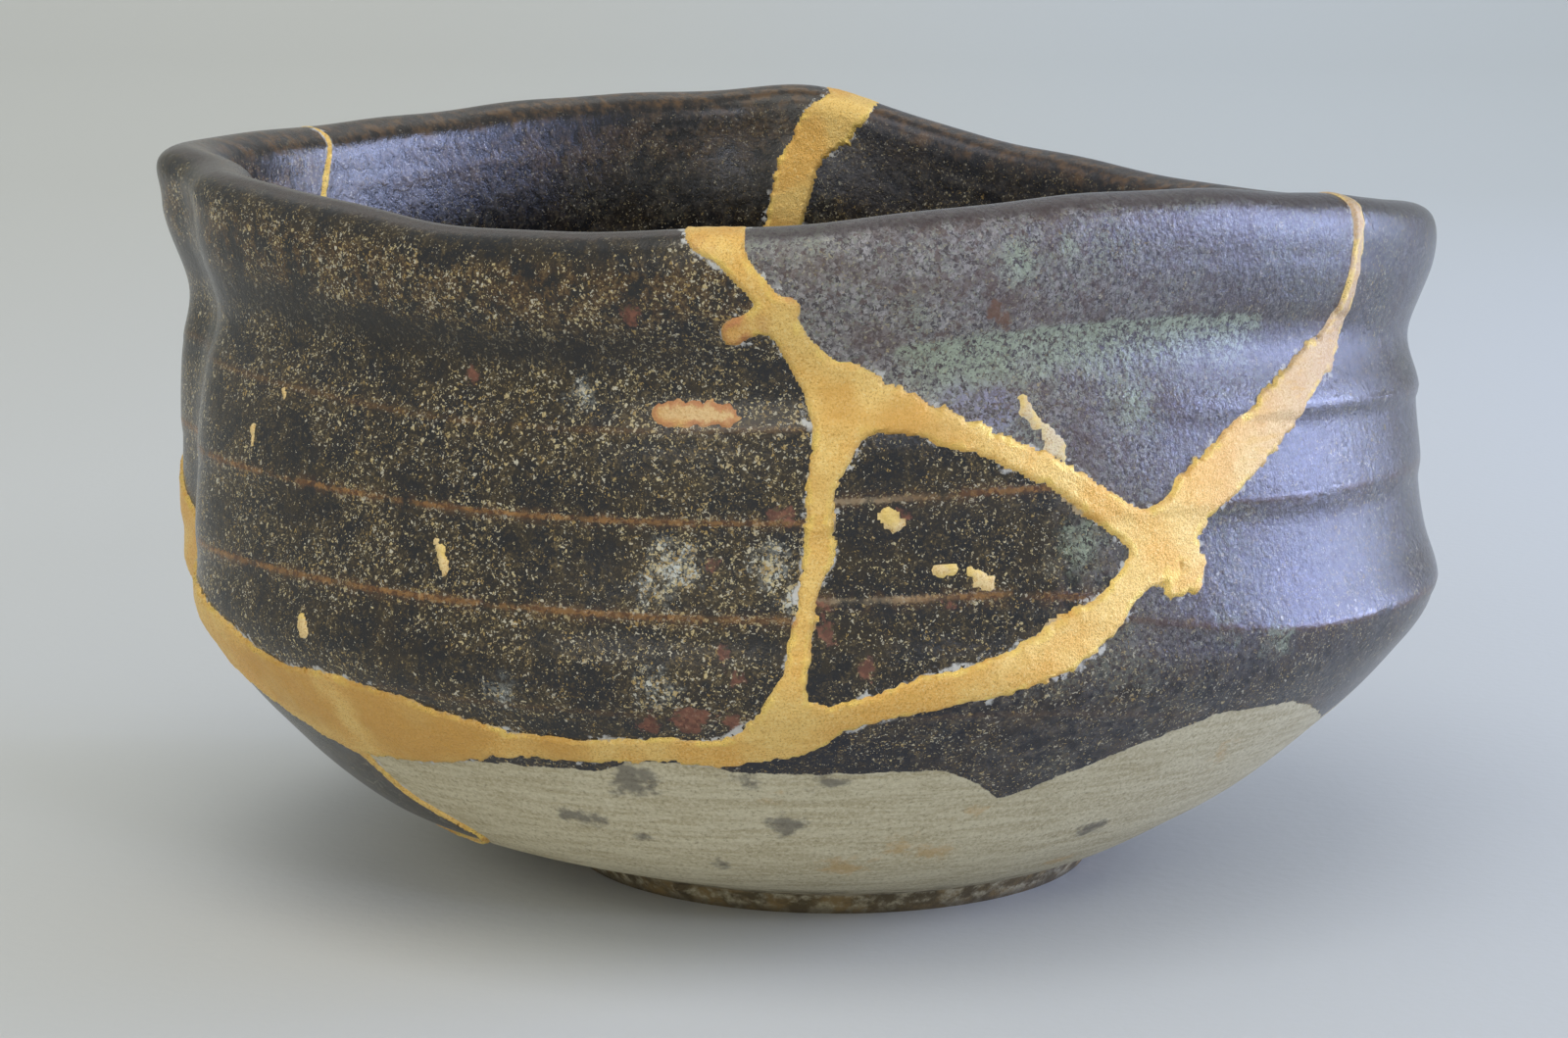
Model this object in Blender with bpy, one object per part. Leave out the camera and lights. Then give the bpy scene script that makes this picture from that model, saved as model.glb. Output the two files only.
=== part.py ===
# A broken and mended tea bowl: five pottery sherds held by one network of gold-dusted lacquer.
# Lengths are in metres, +Z is up, and the front of the bowl faces -Y.
# The wall is laid out as a flat disc, cut there along the cracks, and then wrapped back into the bowl.
import bpy
import numpy as np
from mathutils import Vector
from mathutils.geometry import delaunay_2d_cdt

# Reach of the belly to each side of the foot's centre
HALF_WIDTH = 0.0635
LEFT_REACH = 0.0602
LEFT_RIM_REACH = 0.0628
FRONT_REACH = 0.0559
BACK_REACH = 0.0590
PLAN_TURN = np.radians(3.4)
BELLY_ROUNDNESS = 1.89
RIM_ROUNDNESS = 1.46
CORNER_SOFTNESS = 0.10

# Foot ring and its recess
FOOT_RADIUS = 0.0260
FOOT_RING = 0.0040
FOOT_STEP = 0.0005
FOOT_HEIGHT = 0.0022
FOOT_DRAFT = 0.0015
# How far the foot sits off the middle of the bowl, towards the right
FOOT_SHIFT = 0.0040

# Wall
BELLY_HEIGHT = 0.0285
NECK_HEIGHT = 0.0550
WAIST_INSET = 0.0014
NECK_INSET = 0.0026
WALL = 0.0058
FLOOR = 0.0063
LIP = 0.0072
LIP_DROP = 0.0059
LIP_INSET = 0.0032

# Height of the uneven rim at twelve even steps round the bowl, from the right side on
RIM_HEIGHTS = [0.0652, 0.0645, 0.0676, 0.0727, 0.0727, 0.0711, 0.0703, 0.0679, 0.0657, 0.0671, 0.0691, 0.0680]
PEAK_HEIGHT = 0.0012
PEAK_ANGLE = np.radians(87)
PEAK_SPREAD = np.radians(9)

# The crease pressed into the left side
CREASE_ANGLE = np.radians(190.5)
CREASE_SPREAD = np.radians(6.5)
CREASE_DEPTH = 0.0024

# Seams: the usual half width, the gap on each side, and how far the gold stands out of the glaze
SEAM_HALF_WIDTH = 0.0010
SEAM_GAP = 0.0004
GOLD_RISE = 0.0004

# Spacing of the points along a seam, there over the lip in levels, and the least spacings beside a seam
SEAM_STEP = 0.0030
LIP_STEP = 0.35
SEAM_CLEARANCE = 0.0012
MERGE = 0.00005

# Number of points round the wall and round the foot
WALL_COLUMNS = 76
FOOT_COLUMNS = 40

# Cracks as waypoints: angle in degrees, level on the wall, and width as a share of the usual one.
# A level counts the rows of the profile: 4 is the top of the foot, 8 the belly, 12 the neck and 15 the lip.
CRACKS = {
    "front_rim": [(263.2, 16.2, 2.4), (263.2, 14.6, 2.4), (265.2, 13.6, 1.3), (267.3, 13.1, 1.1),
                  (269.4, 12.6, 1.3), (271.6, 12.2, 1.6), (274.4, 11.7, 2.6)],
    "triangle_left": [(274.6, 11.7, 2.6), (273.6, 11.0, 1.9), (272.6, 10.6, 1.3), (272.5, 9.9, 1.3),
                      (271.5, 9.3, 0.8), (270.9, 8.7, 0.9), (270.3, 8.1, 1.2), (269.6, 7.0, 2.9)],
    "triangle_top": [(274.6, 11.8, 2.6), (281.6, 11.4, 1.7), (287.1, 11.0, 1.3), (294.0, 10.6, 1.2),
                     (301.0, 10.0, 1.4), (305.0, 9.7, 1.9)],
    "right_rim": [(337.0, 16.2, 1.3), (336.8, 14.2, 0.9), (336.0, 12.8, 0.9), (333.8, 12.0, 1.5),
                  (327.8, 11.5, 1.9), (320.8, 10.9, 2.4), (312.0, 10.3, 2.5), (305.2, 9.7, 2.3)],
    "triangle_foot": [(305.2, 9.6, 2.0), (300.5, 9.1, 1.6), (295.0, 8.5, 2.1), (288.5, 8.1, 1.9),
                      (281.4, 7.8, 1.7), (276.3, 7.5, 1.5), (270.0, 7.0, 2.4)],
    "left_belly": [(270.5, 7.0, 2.6), (264.0, 6.7, 2.0), (257.0, 6.7, 1.6), (250.0, 6.6, 1.6),
                   (244.5, 6.6, 1.6), (238.3, 6.6, 2.7), (231.8, 6.6, 4.4), (224.0, 6.6, 5.4),
                   (216.0, 6.6, 5.4), (208.0, 6.95, 4.7), (200.0, 7.45, 4.3), (193.0, 8.0, 4.1),
                   (187.0, 8.5, 3.9), (181.0, 9.1, 3.4), (175.0, 9.85, 2.6), (169.0, 10.9, 1.8),
                   (164.0, 12.2, 1.1), (160.5, 13.8, 0.8), (159.0, 16.2, 0.7)],
    "back_rim": [(84.2, 16.2, 2.9), (84.2, 14.2, 2.8), (87.0, 13.2, 2.5), (90.5, 12.2, 2.4),
                 (94.0, 10.0, 2.1), (96.0, 8.2, 1.8), (102.0, 6.8, 1.3), (116.0, 5.8, 0.9),
                 (140.0, 5.2, 0.6), (170.0, 4.9, 0.5), (200.0, 4.75, 0.5), (216.0, 4.75, 0.5),
                 (224.5, 4.85, 0.5), (227.3, 5.0, 0.5), (225.5, 5.2, 0.6), (221.0, 5.45, 0.6),
                 (219.3, 5.75, 0.7), (218.0, 6.6, 0.9)],
}

# One point inside each sherd, as angle in degrees and level, with its glaze colour and roughness
SHERDS = {
    "front_left_sherd": (235.0, 10.0, (0.030, 0.024, 0.018), 0.24),
    "small_triangle_sherd": (285.0, 9.3, (0.034, 0.028, 0.020), 0.26),
    "front_right_rim_sherd": (300.0, 12.5, (0.085, 0.070, 0.078), 0.30),
    "base_and_right_sherd": (0.0, 9.0, (0.150, 0.128, 0.105), 0.48),
    "back_left_sherd": (130.0, 11.0, (0.045, 0.040, 0.040), 0.28),
}
GOLD_COLOUR = (0.80, 0.56, 0.20)
GOLD_ROUGHNESS = 0.36


def smooth_step(t):
    t = np.clip(t, 0.0, 1.0)
    return t * t * (3.0 - 2.0 * t)


def curve_weights(u):
    return np.array([0.5 * (2 * u**2 - u - u**3), 0.5 * (2 - 5 * u**2 + 3 * u**3),
                     0.5 * (u + 4 * u**2 - 3 * u**3), 0.5 * (u**3 - u**2)])


def profile_rows():
    rim = sum(RIM_HEIGHTS) / len(RIM_HEIGHTS)
    rise = NECK_HEIGHT - BELLY_HEIGHT
    outer = [(0.0, FOOT_HEIGHT),
             (FOOT_RADIUS - FOOT_RING - FOOT_STEP, FOOT_HEIGHT),
             (FOOT_RADIUS - FOOT_RING, 0.0),
             (FOOT_RADIUS, 0.0),
             (FOOT_RADIUS + FOOT_DRAFT, FOOT_HEIGHT),
             (0.694 * HALF_WIDTH, FOOT_HEIGHT + 0.240 * (BELLY_HEIGHT - FOOT_HEIGHT)),
             (0.871 * HALF_WIDTH, FOOT_HEIGHT + 0.563 * (BELLY_HEIGHT - FOOT_HEIGHT)),
             (0.967 * HALF_WIDTH, FOOT_HEIGHT + 0.829 * (BELLY_HEIGHT - FOOT_HEIGHT)),
             (HALF_WIDTH, BELLY_HEIGHT),
             (HALF_WIDTH - 0.5 * WAIST_INSET, BELLY_HEIGHT + 0.21 * rise),
             (HALF_WIDTH - 0.85 * WAIST_INSET, BELLY_HEIGHT + 0.48 * rise),
             (HALF_WIDTH - WAIST_INSET, BELLY_HEIGHT + 0.76 * rise),
             (HALF_WIDTH - NECK_INSET, NECK_HEIGHT),
             (HALF_WIDTH - 0.04 * NECK_INSET, rim - LIP_DROP),
             (HALF_WIDTH - 0.10 * LIP_INSET, rim - 0.25 * LIP_DROP),
             (HALF_WIDTH - LIP_INSET, rim)]
    outer = np.array(outer)
    inner = outer.copy()
    for row in range(5, 13):
        along = outer[row + 1] - outer[row - 1]
        along /= np.linalg.norm(along)
        inner[row] = outer[row] + WALL * np.array([-along[1], along[0]])
    inner[13, 0] -= LIP
    inner[14, 0] -= 0.86 * LIP
    well = FOOT_HEIGHT + FLOOR
    for row in range(5):
        share = outer[row, 0] / outer[5, 0]
        inner[row] = (inner[5, 0] * share, well + (inner[5, 1] - well) * share**2)
    return outer, inner


OUTER_ROWS, INNER_ROWS = profile_rows()
TOP_LEVEL = len(OUTER_ROWS) - 1
RIM_MEAN = OUTER_ROWS[TOP_LEVEL, 1]
ARC = np.concatenate([[0.0], np.cumsum(np.linalg.norm(np.diff(OUTER_ROWS, axis=0), axis=1))])


def profile_point(level, inside):
    rows, others = (INNER_ROWS, OUTER_ROWS) if inside else (OUTER_ROWS, INNER_ROWS)
    i = int(np.clip(np.floor(level), 0, TOP_LEVEL - 1))
    u = level - i
    if i < 4:
        return rows[i] * (1 - u) + rows[i + 1] * u
    before = 2 * rows[i] - rows[i + 1] if i == 4 else rows[i - 1]
    after = others[i] if i == TOP_LEVEL - 1 else rows[i + 2]
    return curve_weights(u) @ np.array([before, rows[i], rows[i + 1], after])


def rim_height(angle):
    n = len(RIM_HEIGHTS)
    t = (angle / (2 * np.pi) * n) % n
    i = int(np.floor(t))
    near = np.array([RIM_HEIGHTS[(i + k) % n] for k in (-1, 0, 1, 2)])
    off = (angle - PEAK_ANGLE + np.pi) % (2 * np.pi) - np.pi
    return curve_weights(t - i) @ near + PEAK_HEIGHT * np.exp(-(off / PEAK_SPREAD)**2)


def plan_factor(angle, height):
    up = float(np.clip((height - BELLY_HEIGHT) / (RIM_MEAN - LIP_DROP - BELLY_HEIGHT), 0.0, 1.0))
    n = BELLY_ROUNDNESS + (RIM_ROUNDNESS - BELLY_ROUNDNESS) * up
    c = np.cos(angle - PLAN_TURN)
    s = np.sin(angle - PLAN_TURN)
    if c < 0:
        c *= HALF_WIDTH / (LEFT_REACH + (LEFT_RIM_REACH - LEFT_REACH) * up)
    s *= HALF_WIDTH / (FRONT_REACH if s < 0 else BACK_REACH)
    e = CORNER_SOFTNESS
    q = (c * c + e * e)**(n / 2) + (s * s + e * e)**(n / 2)
    return (q / ((1 + e * e)**(n / 2) + e**n))**(-1 / n)


def wall_point(angle, level, inside=False):
    r, z = profile_point(level, inside)
    squared = smooth_step((r - FOOT_RADIUS - FOOT_DRAFT) / (0.91 * HALF_WIDTH - FOOT_RADIUS - FOOT_DRAFT))
    radius = r * (1 - squared + squared * plan_factor(angle, z))
    off = (angle - CREASE_ANGLE + np.pi) % (2 * np.pi) - np.pi
    crease = CREASE_DEPTH * smooth_step((z - 0.42 * BELLY_HEIGHT) / (0.5 * BELLY_HEIGHT))
    radius -= crease * np.exp(-(off / CREASE_SPREAD)**2)
    low = 1 - smooth_step((r - FOOT_RADIUS - FOOT_DRAFT) / (OUTER_ROWS[5, 0] - FOOT_RADIUS - FOOT_DRAFT))
    lift = smooth_step((z - BELLY_HEIGHT) / (0.96 * RIM_MEAN - BELLY_HEIGHT))
    return np.array([radius * np.cos(angle) + FOOT_SHIFT * low,
                     radius * np.sin(angle),
                     z + lift * (rim_height(angle) - RIM_MEAN)])


def wall_normal(angle, level, inside=False):
    step = 0.004
    around = wall_point(angle + step, level, inside) - wall_point(angle - step, level, inside)
    if level > TOP_LEVEL - 0.01:
        upright = np.array([0.0, 0.0, 1.0]) - around * around[2] / (around @ around)
        return upright / np.linalg.norm(upright)
    up = wall_point(angle, level + step, inside) - wall_point(angle, level - step, inside)
    normal = np.cross(around, up)
    normal /= np.linalg.norm(normal)
    return -normal if inside else normal


def flat_point(angle, level):
    arc = np.interp(level, range(TOP_LEVEL + 1), ARC)
    if level > TOP_LEVEL:
        arc = ARC[-1] + (level - TOP_LEVEL) * (ARC[-1] - ARC[-2])
    return arc * np.array([np.cos(angle), np.sin(angle)])


def level_of(flat):
    return np.interp(np.linalg.norm(flat), ARC, range(TOP_LEVEL + 1))


def path_samples(points):
    points = np.array(points)
    ends = np.vstack([2 * points[0] - points[1], points, 2 * points[-1] - points[-2]])
    samples = []
    for i in range(1, len(ends) - 2):
        radius = np.linalg.norm(wall_point(np.radians(ends[i, 0]), min(ends[i, 1], TOP_LEVEL))[:2])
        around = np.radians(ends[i + 1, 0] - ends[i, 0]) * radius
        up = np.linalg.norm(flat_point(0, ends[i + 1, 1]) - flat_point(0, ends[i, 1]))
        bend = abs(ends[i + 1, 1] - ends[i, 1]) / LIP_STEP if ends[i:i + 2, 1].max() > 12 else 0
        count = max(1, round(np.hypot(around, up) / SEAM_STEP), round(bend))
        samples += [curve_weights(k / count) @ ends[i - 1:i + 3] for k in range(count)]
    return np.array(samples + [points[-1]])


def ribbon(points, extra):
    samples = path_samples(points)
    angle = np.radians(samples[:, 0])
    arc = np.array([np.linalg.norm(flat_point(0, level)) for level in samples[:, 1]])
    radius = np.array([np.linalg.norm(wall_point(a, min(s, TOP_LEVEL))[:2]) for a, s in zip(angle, samples[:, 1])])
    across = np.gradient(angle) * radius
    up = np.gradient(arc)
    length = np.hypot(across, up)
    half = samples[:, 2] * SEAM_HALF_WIDTH + extra
    across /= length
    up /= length
    last = len(samples) - 1
    outline = [(i, 90) for i in range(last + 1)] + [(last, t) for t in (45, 0, -45)]
    outline += [(i, -90) for i in range(last, -1, -1)] + [(0, t) for t in (-135, 180, 135)]
    corners = []
    for i, heading in outline:
        forward = np.cos(np.radians(heading)) * half[i]
        aside = np.sin(np.radians(heading)) * half[i]
        turned = angle[i] + (forward * across[i] - aside * up[i]) / radius[i]
        moved = arc[i] + forward * up[i] + aside * across[i]
        corners.append((moved * np.cos(turned), moved * np.sin(turned)))
    return np.array(corners)


def winding(polygon, points):
    a = polygon[None, :, :] - points[:, None, :]
    b = np.roll(polygon, -1, axis=0)[None, :, :] - points[:, None, :]
    turn = np.arctan2(a[..., 0] * b[..., 1] - a[..., 1] * b[..., 0], (a * b).sum(axis=2))
    return np.abs(turn.sum(axis=1)) > np.pi


def inside_any(polygons, points):
    return np.any([winding(p, points) for p in polygons], axis=0)


def edge_distance(points, edges):
    best = np.full(len(points), 1e9)
    for a, b in edges:
        along = b - a
        t = np.clip(((points - a) @ along) / (along @ along), 0, 1)
        best = np.minimum(best, np.linalg.norm(points - a - t[:, None] * along, axis=1))
    return best


def border_edges(polygons, covers):
    edges = []
    for i, polygon in enumerate(polygons):
        others = [p for j, p in enumerate(polygons) if j != i] + covers
        ends = np.roll(polygon, -1, axis=0)
        hidden = inside_any(others, polygon) & inside_any(others, ends) & inside_any(others, (polygon + ends) / 2)
        edges += [(a, b) for a, b, h in zip(polygon, ends, hidden) if not h]
    return edges


def cut_disc():
    narrow = [ribbon(points, 0.0) for points in CRACKS.values()]
    wide = [ribbon(points, SEAM_GAP) for points in CRACKS.values()]
    edges = border_edges(narrow, []) + border_edges(wide, narrow)
    turns = 2 * np.pi * np.arange(WALL_COLUMNS) / WALL_COLUMNS
    circle = np.array([flat_point(t, TOP_LEVEL) for t in turns])
    grid = [np.zeros(2)]
    for level in (1, 2, 3, 4):
        grid += [flat_point(2 * np.pi * k / FOOT_COLUMNS, level) for k in range(FOOT_COLUMNS)]
    for level in (4.55, 5, 5.5, 6, 6.5, 7, 7.5, 8, 9, 10, 11, 12, 12.6, 13.2, 13.8, 14.35, 14.75):
        grid += [flat_point(t, level) for t in turns]
    grid = np.array(grid)
    grid = grid[edge_distance(grid, edges) > SEAM_CLEARANCE]
    points = list(grid)
    lines = []
    for a, b in edges + list(zip(circle, np.roll(circle, -1, axis=0))):
        lines.append((len(points), len(points) + 1))
        points += [a, b]
    result = delaunay_2d_cdt([Vector(p) for p in points], lines, [], 0, MERGE)
    flats = np.array([tuple(v) for v in result[0]])
    faces = np.array([f for f in result[2]])
    centres = flats[faces].mean(axis=1)
    kept = winding(circle, centres)
    faces = faces[kept]
    centres = centres[kept]
    gold = inside_any(narrow, centres)
    gap = inside_any(wide, centres) & ~gold
    return flats, faces[gold], faces[~gold & ~gap]


def loose_parts(faces):
    parent = {}

    def root(v):
        while parent.setdefault(v, v) != v:
            parent[v] = parent[parent[v]]
            v = parent[v]
        return v

    for a, b, c in faces:
        parent[root(a)] = root(b)
        parent[root(b)] = root(c)
    groups = {}
    for face in faces:
        groups.setdefault(root(face[0]), []).append(face)
    return list(groups.values())


def wrap(name, flats, faces, rise, colour, roughness, metallic):
    faces = np.array(faces)
    used = np.unique(faces)
    number = {v: i for i, v in enumerate(used)}
    angles = np.arctan2(flats[used, 1], flats[used, 0])
    levels = np.array([level_of(flats[v]) for v in used])
    top = np.linalg.norm(flats[used], axis=1) > ARC[-1] * np.cos(np.pi / WALL_COLUMNS) - MERGE
    levels[top] = TOP_LEVEL
    vertices = [wall_point(a, s) + rise * wall_normal(a, s) if rise else wall_point(a, s)
                for a, s in zip(angles, levels)]
    back = {}
    for i, v in enumerate(used):
        if top[i]:
            back[v] = i
        else:
            back[v] = len(vertices)
            point = wall_point(angles[i], levels[i], True)
            vertices.append(point + rise * wall_normal(angles[i], levels[i], True) if rise else point)
    triangles = []
    sides = {}
    for face in faces:
        a, b, c = [int(v) for v in face]
        triangles.append([number[c], number[b], number[a]])
        triangles.append([back[a], back[b], back[c]])
        for edge in ((a, b), (b, c), (c, a)):
            sides[edge] = True
    for a, b in sides:
        if (b, a) in sides or (back[a] == number[a] and back[b] == number[b]):
            continue
        if flats[a] @ (1.0, 0.4) < flats[b] @ (1.0, 0.4):
            halves = ([number[a], number[b], back[b]], [number[a], back[b], back[a]])
        else:
            halves = ([number[a], number[b], back[a]], [number[b], back[b], back[a]])
        triangles += [half for half in halves if len(set(half)) == 3]
    mesh = bpy.data.meshes.new(name)
    mesh.from_pydata([tuple(v) for v in vertices], [], triangles)
    mesh.update()
    part = bpy.data.objects.new(name, mesh)
    bpy.context.scene.collection.objects.link(part)
    material = bpy.data.materials.new(name)
    material.use_nodes = True
    shader = material.node_tree.nodes["Principled BSDF"]
    shader.inputs["Base Color"].default_value = (*colour, 1.0)
    shader.inputs["Roughness"].default_value = roughness
    shader.inputs["Metallic"].default_value = metallic
    mesh.materials.append(material)
    mesh.shade_smooth()
    mesh.set_sharp_from_angle(angle=np.radians(40))
    return part


def nearest_sherd(flats, faces):
    centres = flats[np.array(faces)].mean(axis=1)
    gaps = {name: np.min(np.linalg.norm(centres - flat_point(np.radians(a), s), axis=1))
            for name, (a, s, colour, roughness) in SHERDS.items()}
    return min(gaps, key=gaps.get)


def centre_on_bounds(parts):
    corners = np.array([v.co for part in parts for v in part.data.vertices])
    middle = (corners.min(axis=0) + corners.max(axis=0)) / 2
    for part in parts:
        for v in part.data.vertices:
            v.co.x -= middle[0]
            v.co.y -= middle[1]


for old in list(bpy.data.objects):
    bpy.data.objects.remove(old, do_unlink=True)

flats, gold_faces, clay_faces = cut_disc()
parts = []
for group in loose_parts(clay_faces):
    name = nearest_sherd(flats, group)
    parts.append(wrap(name, flats, group, 0.0, SHERDS[name][2], SHERDS[name][3], 0.0))
parts.append(wrap("gold_lacquer_seams", flats, gold_faces, GOLD_RISE, GOLD_COLOUR, GOLD_ROUGHNESS, 0.9))
centre_on_bounds(parts)
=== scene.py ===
import bpy
import numpy as np
from mathutils import Matrix, Vector, noise


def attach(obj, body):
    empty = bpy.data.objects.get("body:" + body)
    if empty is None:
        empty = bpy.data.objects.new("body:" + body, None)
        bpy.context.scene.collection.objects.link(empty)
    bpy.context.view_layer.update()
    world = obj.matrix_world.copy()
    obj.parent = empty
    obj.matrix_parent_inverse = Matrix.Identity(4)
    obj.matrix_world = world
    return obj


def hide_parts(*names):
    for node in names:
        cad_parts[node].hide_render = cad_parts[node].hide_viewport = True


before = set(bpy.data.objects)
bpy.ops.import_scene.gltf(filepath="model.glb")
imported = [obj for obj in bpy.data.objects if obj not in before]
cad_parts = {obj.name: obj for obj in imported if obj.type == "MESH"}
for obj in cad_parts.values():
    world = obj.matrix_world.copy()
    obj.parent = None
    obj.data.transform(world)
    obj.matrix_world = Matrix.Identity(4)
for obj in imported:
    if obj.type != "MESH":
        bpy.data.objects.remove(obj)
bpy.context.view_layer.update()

# The bowl's form: the same sizes as the CAD part, in metres
HALF_WIDTH = 0.0635
LEFT_REACH = 0.0602
LEFT_RIM_REACH = 0.0628
FRONT_REACH = 0.0559
BACK_REACH = 0.0590
PLAN_TURN = np.radians(3.4)
BELLY_ROUNDNESS = 1.89
RIM_ROUNDNESS = 1.46
CORNER_SOFTNESS = 0.10
FOOT_RADIUS = 0.0260
FOOT_RING = 0.0040
FOOT_HEIGHT = 0.0022
FOOT_DRAFT = 0.0015
FOOT_SHIFT = 0.0040
FOOT_STEP = 0.0005
BELLY_HEIGHT = 0.0285
NECK_HEIGHT = 0.0550
WAIST_INSET = 0.0014
NECK_INSET = 0.0026
WALL = 0.0058
FLOOR = 0.0063
LIP = 0.0072
LIP_DROP = 0.0059
LIP_INSET = 0.0032
RIM_HEIGHTS = [0.0652, 0.0645, 0.0676, 0.0727, 0.0727, 0.0711, 0.0703, 0.0679, 0.0657, 0.0671, 0.0691, 0.0680]
PEAK_HEIGHT = 0.0012
PEAK_ANGLE = np.radians(87)
PEAK_SPREAD = np.radians(9)
CREASE_ANGLE = np.radians(190.5)
CREASE_SPREAD = np.radians(6.5)
CREASE_DEPTH = 0.0024
# Where the middle of the wall's plan lies in the part's frame
PLAN_CENTRE = np.array([-0.0005, -0.001476, 0.0])

# Cracks as waypoints: angle in degrees, level on the wall, half width in millimetres
CRACKS = {
    "front_rim": [(263.2, 16.2, 2.8), (263.2, 14.7, 2.8), (265.0, 13.7, 1.25), (267.3, 13.1, 0.9),
                  (269.4, 12.6, 1.2), (271.6, 12.2, 1.6), (274.4, 11.7, 2.6)],
    "triangle_left": [(274.6, 11.7, 2.6), (273.6, 11.0, 1.9), (272.6, 10.6, 1.3), (272.5, 9.9, 1.3),
                      (271.5, 9.3, 0.8), (270.9, 8.7, 0.9), (270.3, 8.1, 1.2), (269.6, 7.0, 2.9)],
    "triangle_top": [(274.6, 11.8, 2.6), (281.6, 11.4, 1.7), (287.1, 11.0, 1.3), (294.0, 10.6, 1.2),
                     (301.0, 10.0, 1.4), (305.0, 9.7, 1.9)],
    "right_rim": [(337.0, 16.2, 1.3), (336.8, 14.2, 0.9), (336.0, 12.8, 0.9), (333.8, 12.0, 1.5),
                  (327.8, 11.5, 1.9), (320.8, 10.9, 2.4), (312.0, 10.3, 2.5), (305.2, 9.7, 2.3)],
    "triangle_foot": [(305.2, 9.6, 2.0), (300.5, 9.1, 1.6), (295.0, 8.5, 2.1), (288.5, 8.1, 1.9),
                      (281.4, 7.8, 1.7), (276.3, 7.5, 1.5), (270.0, 7.0, 2.4)],
    "left_belly": [(270.5, 7.0, 2.6), (264.0, 6.7, 2.0), (257.0, 6.7, 1.6), (250.0, 6.6, 1.6),
                   (244.5, 6.6, 1.6), (238.3, 6.6, 2.7), (231.8, 6.6, 4.4), (224.0, 6.6, 5.4),
                   (216.0, 6.6, 5.4), (208.0, 6.95, 4.7), (200.0, 7.45, 4.3), (193.0, 8.0, 4.1),
                   (187.0, 8.5, 3.9), (181.0, 9.1, 3.4), (175.0, 9.85, 2.6), (169.0, 10.9, 1.6),
                   (163.5, 12.2, 0.6), (159.5, 13.8, 0.35), (157.8, 16.2, 0.32)],
    "back_rim": [(83.0, 16.2, 3.5), (83.4, 14.2, 3.0), (86.6, 13.2, 2.6), (90.5, 12.2, 2.4),
                 (94.0, 10.0, 2.1), (96.0, 8.2, 1.8), (102.0, 6.8, 1.3), (116.0, 5.8, 0.9),
                 (140.0, 5.2, 0.5), (170.0, 4.9, 0.4), (200.0, 4.75, 0.35), (216.0, 4.75, 0.32),
                 (224.5, 4.85, 0.32), (227.3, 5.0, 0.32), (225.5, 5.2, 0.35), (221.0, 5.45, 0.4),
                 (219.3, 5.75, 0.5), (218.0, 6.6, 0.9)],
}
# Two outgrowths of the gold: a lobe at the right junction and a stub near the front rim
OUTGROWTHS = [[(306.2, 9.75, 1.2), (308.4, 9.68, 1.4), (308.8, 9.3, 1.3), (306.4, 9.12, 0.9)],
              [(269.6, 12.85, 1.0), (267.2, 12.72, 1.05), (265.0, 12.60, 1.15)]]
# Small separate touches of gold, and pale flakes, as waypoints of the same kind
DABS = [[(258.2, 11.62, 0.8), (259.4, 11.62, 1.15), (262.4, 11.60, 1.15), (264.2, 11.56, 1.0)],
        [(278.5, 10.27, 0.5), (279.2, 10.12, 0.7)],
        [(283.0, 9.58, 0.5), (284.4, 9.58, 0.65)],
        [(285.9, 9.55, 0.5), (287.6, 9.40, 0.65)],
        [(236.0, 9.74, 0.3), (236.3, 9.66, 0.4)],
        [(236.8, 9.48, 0.45), (237.2, 9.40, 0.5)],
        [(220.7, 8.32, 0.5), (220.9, 8.12, 0.55)],
        [(210.4, 10.7, 0.3), (210.7, 10.50, 0.4)],
        [(214.0, 11.3, 0.35), (214.3, 11.2, 0.45)]]
FLAKES = [[(291.4, 11.48, 0.35), (291.6, 11.38, 0.55)], [(292.0, 11.28, 0.6), (292.6, 11.14, 0.75)],
          [(293.8, 11.02, 0.8), (294.3, 10.92, 0.95)], [(294.9, 10.82, 0.5), (295.3, 10.76, 0.6)]]
# Where the gold is coppery, as angle, level and radius in millimetres
COPPER_SPOTS = [(265.3, 12.62, 1.6), (267.5, 12.72, 0.9), (270.0, 13.0, 0.6), (270.2, 9.0, 0.6),
                (258.8, 11.63, 1.9), (261.3, 11.63, 2.0), (263.8, 11.59, 2.0), (262.0, 14.15, 0.7),
                (263.2, 13.95, 0.6)]
# Where it is a deeper, warmer gold
WARM_SPOTS = [(274.0, 11.7, 2.6), (279.0, 11.3, 3.2), (283.0, 11.2, 2.2), (273.0, 10.6, 1.6),
              (232.0, 6.6, 8.0), (215.0, 6.8, 6.0), (248.0, 6.6, 3.0)]
# A point inside each sherd: angle in degrees and level
SEEDS = {"front_left_sherd": (235.0, 10.0), "small_triangle_sherd": (285.0, 9.3),
         "front_right_rim_sherd": (300.0, 12.5), "base_and_right_sherd": (0.0, 9.0),
         "back_left_sherd": (130.0, 11.0)}

# Where the glaze ends on the lower wall: angle in degrees and level
CLAY_EDGE = [(0, 6.5), (40, 6.1), (70, 6.6), (96, 6.2), (215, 5.9), (222, 6.1), (229, 6.15), (240, 6.25),
             (252, 6.31), (254.5, 6.5), (262, 6.5), (264.5, 6.4), (272, 6.38), (284.5, 6.4), (288, 6.22),
             (292.3, 5.88), (296, 6.05), (304, 6.43), (314, 6.82), (325, 6.7), (340, 6.05), (347, 6.4),
             (360, 6.5)]
# The back-left sherd is glazed nearly down to the foot
LOW_GLAZE = 4.3
# Throwing rings as levels on the wall: at the left and front, at the right, and how much higher they sit
# on the small triangle
RINGS = [7.3, 9.03, 10.2, 11.35]
RIGHT_RINGS = [6.6, 8.2, 10.0, 11.05]
TRIANGLE_LIFT = 0.24
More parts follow.
